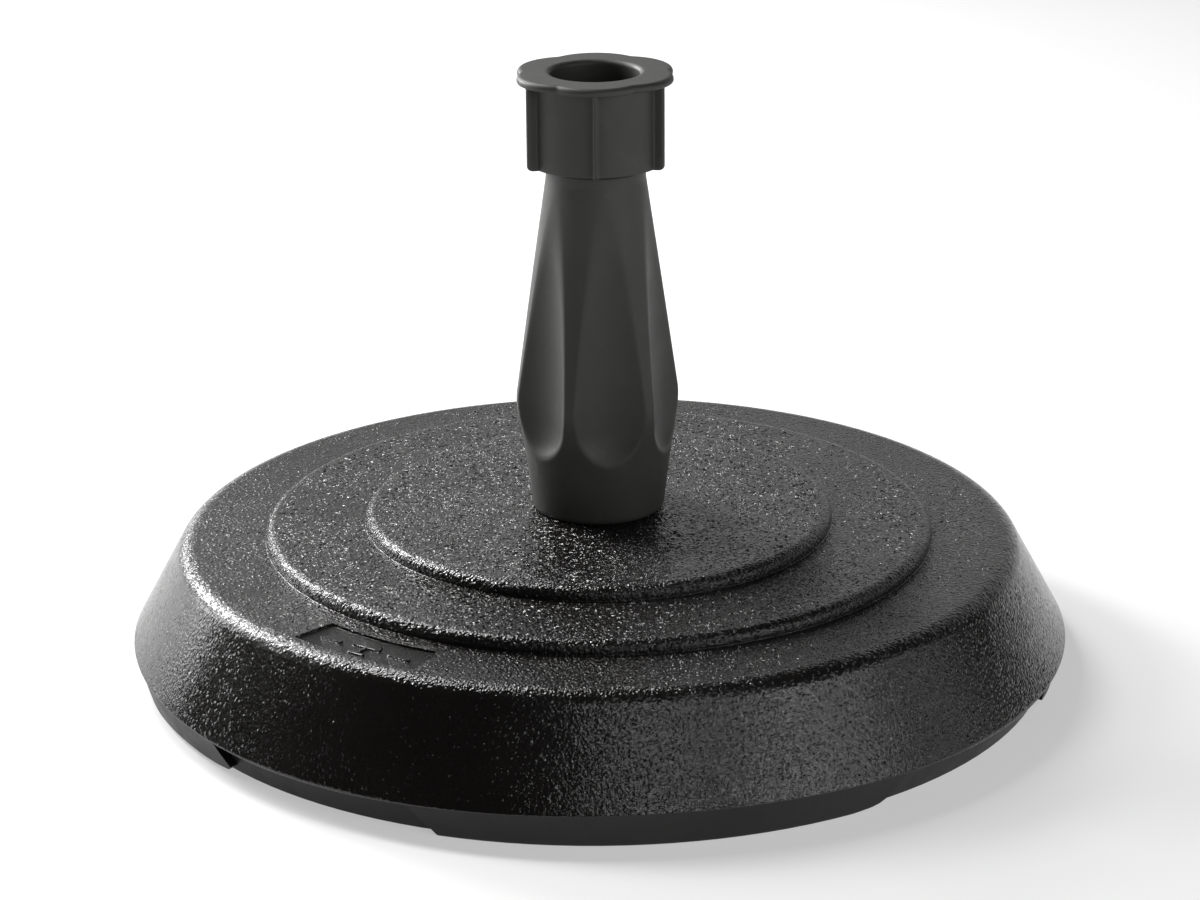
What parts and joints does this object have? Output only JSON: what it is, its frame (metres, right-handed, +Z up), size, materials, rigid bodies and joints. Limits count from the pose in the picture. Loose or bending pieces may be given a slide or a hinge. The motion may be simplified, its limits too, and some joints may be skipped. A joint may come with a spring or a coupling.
{
  "type": "parasol base",
  "caption": "Round weighted parasol base: stepped disc with finger recesses, fluted screw-on upright tube, and a ribbed hand nut that closes three jaws on the pole.",
  "frame": {"origin": "on the floor, at the centre of the disc", "axes": "+Z up along the pole; -Y is the front, with the recessed plaque to its left; +X is to the right seen from the front"},
  "size_m": [0.4994, 0.4994, 0.3209],
  "materials": {
    "shell_plastic": "satin",
    "pan_plastic": "satin",
    "tube_plastic": "satin",
    "nut_plastic": "satin",
    "hub_plastic": "satin",
    "concrete": "matte",
    "steel": "satin",
    "rubber": "matte"
  },
  "bodies": {
    "base": {"base_shell": "shell_plastic", "base_pan": "pan_plastic", "concrete_ballast": "concrete", "hub_socket": "hub_plastic", "threaded_spigot": "hub_plastic", "hub_washers": "steel", "hub_screws": "steel", "pan_screws": "steel", "fill_plug": "pan_plastic", "vent_plug": "pan_plastic"},
    "foot_seal": {"foot_gasket": "rubber"},
    "tube": {"pole_tube": "tube_plastic", "crown_collar": "hub_plastic"},
    "carrier": {"thrust_ring": "hub_plastic"},
    "nut": {"clamp_nut": "nut_plastic", "retaining_ring": "steel"},
    "jaw_1": {"jaw_1": "hub_plastic", "jaw_pad_1": "rubber"},
    "jaw_2": {"jaw_2": "hub_plastic", "jaw_pad_2": "rubber"},
    "jaw_3": {"jaw_3": "hub_plastic", "jaw_pad_3": "rubber"}
  },
  "joints": [
    {"name": "gasket_lift", "type": "slide", "parent": "base", "child": "foot_seal", "axis": [0, 0, 1], "range_m": [0, 0.024]},
    {"name": "tube_turn", "type": "hinge", "parent": "foot_seal", "child": "tube", "pos_m": [0, 0, 0.1], "axis": [0, 0, 1], "range_deg": [0, 1440]},
    {"name": "carrier_slide", "type": "slide", "parent": "tube", "child": "carrier", "axis": [0, 0, 1], "range_m": [-0.009, 0]},
    {"name": "nut_turn", "type": "hinge", "parent": "carrier", "child": "nut", "pos_m": [0, 0, 0.295], "axis": [0, 0, 1], "range_deg": [-540, 0]},
    {"name": "jaw_1_slide", "type": "slide", "parent": "tube", "child": "jaw_1", "axis": [0, 0.309, -0.9511], "range_m": [0, 0.00946]},
    {"name": "jaw_2_slide", "type": "slide", "parent": "tube", "child": "jaw_2", "axis": [-0.2676, -0.1545, -0.9511], "range_m": [0, 0.00946]},
    {"name": "jaw_3_slide", "type": "slide", "parent": "tube", "child": "jaw_3", "axis": [0.2676, -0.1545, -0.9511], "range_m": [0, 0.00946]}
  ],
  "couplings": [
    {"joint": "gasket_lift", "follows": "tube_turn", "m_per_rad": 0.00095492},
    {"joint": "carrier_slide", "follows": "nut_turn", "m_per_rad": 0.00095492},
    {"joint": "jaw_1_slide", "follows": "nut_turn", "m_per_rad": -0.0010041},
    {"joint": "jaw_2_slide", "follows": "nut_turn", "m_per_rad": -0.0010041},
    {"joint": "jaw_3_slide", "follows": "nut_turn", "m_per_rad": -0.0010041}
  ]
}
